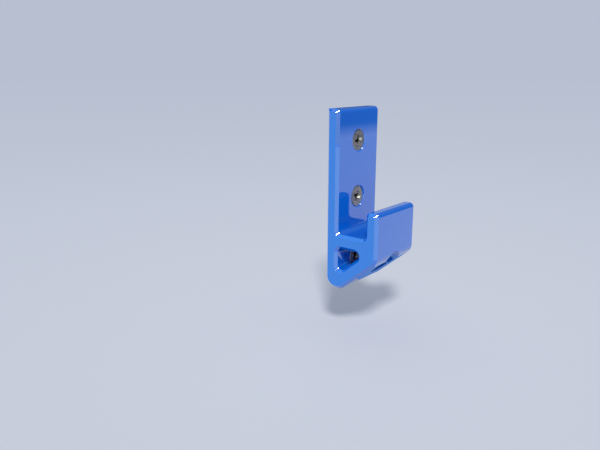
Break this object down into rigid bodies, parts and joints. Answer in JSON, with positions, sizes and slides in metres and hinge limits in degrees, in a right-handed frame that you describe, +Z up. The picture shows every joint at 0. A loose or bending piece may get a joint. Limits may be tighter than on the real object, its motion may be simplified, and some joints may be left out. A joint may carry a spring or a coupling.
{
  "type": "picture hook",
  "caption": "Moulded plastic picture hook: upright back plate, J-shaped hook stiffened by a slanted brace, screwed to a wall.",
  "frame": {"origin": "the upper screw's axis, where it crosses the wall's face", "axes": "+Z up along the back plate, +Y into the wall along the screws, +X to the right as seen from the wall's front"},
  "size_m": [0.0238, 0.0278, 0.06],
  "materials": {
    "blue_plastic": "gloss",
    "screw_steel": "satin"
  },
  "bodies": {
    "root": {"hook": "blue_plastic", "mounting_screws": "screw_steel"}
  },
  "joints": []
}
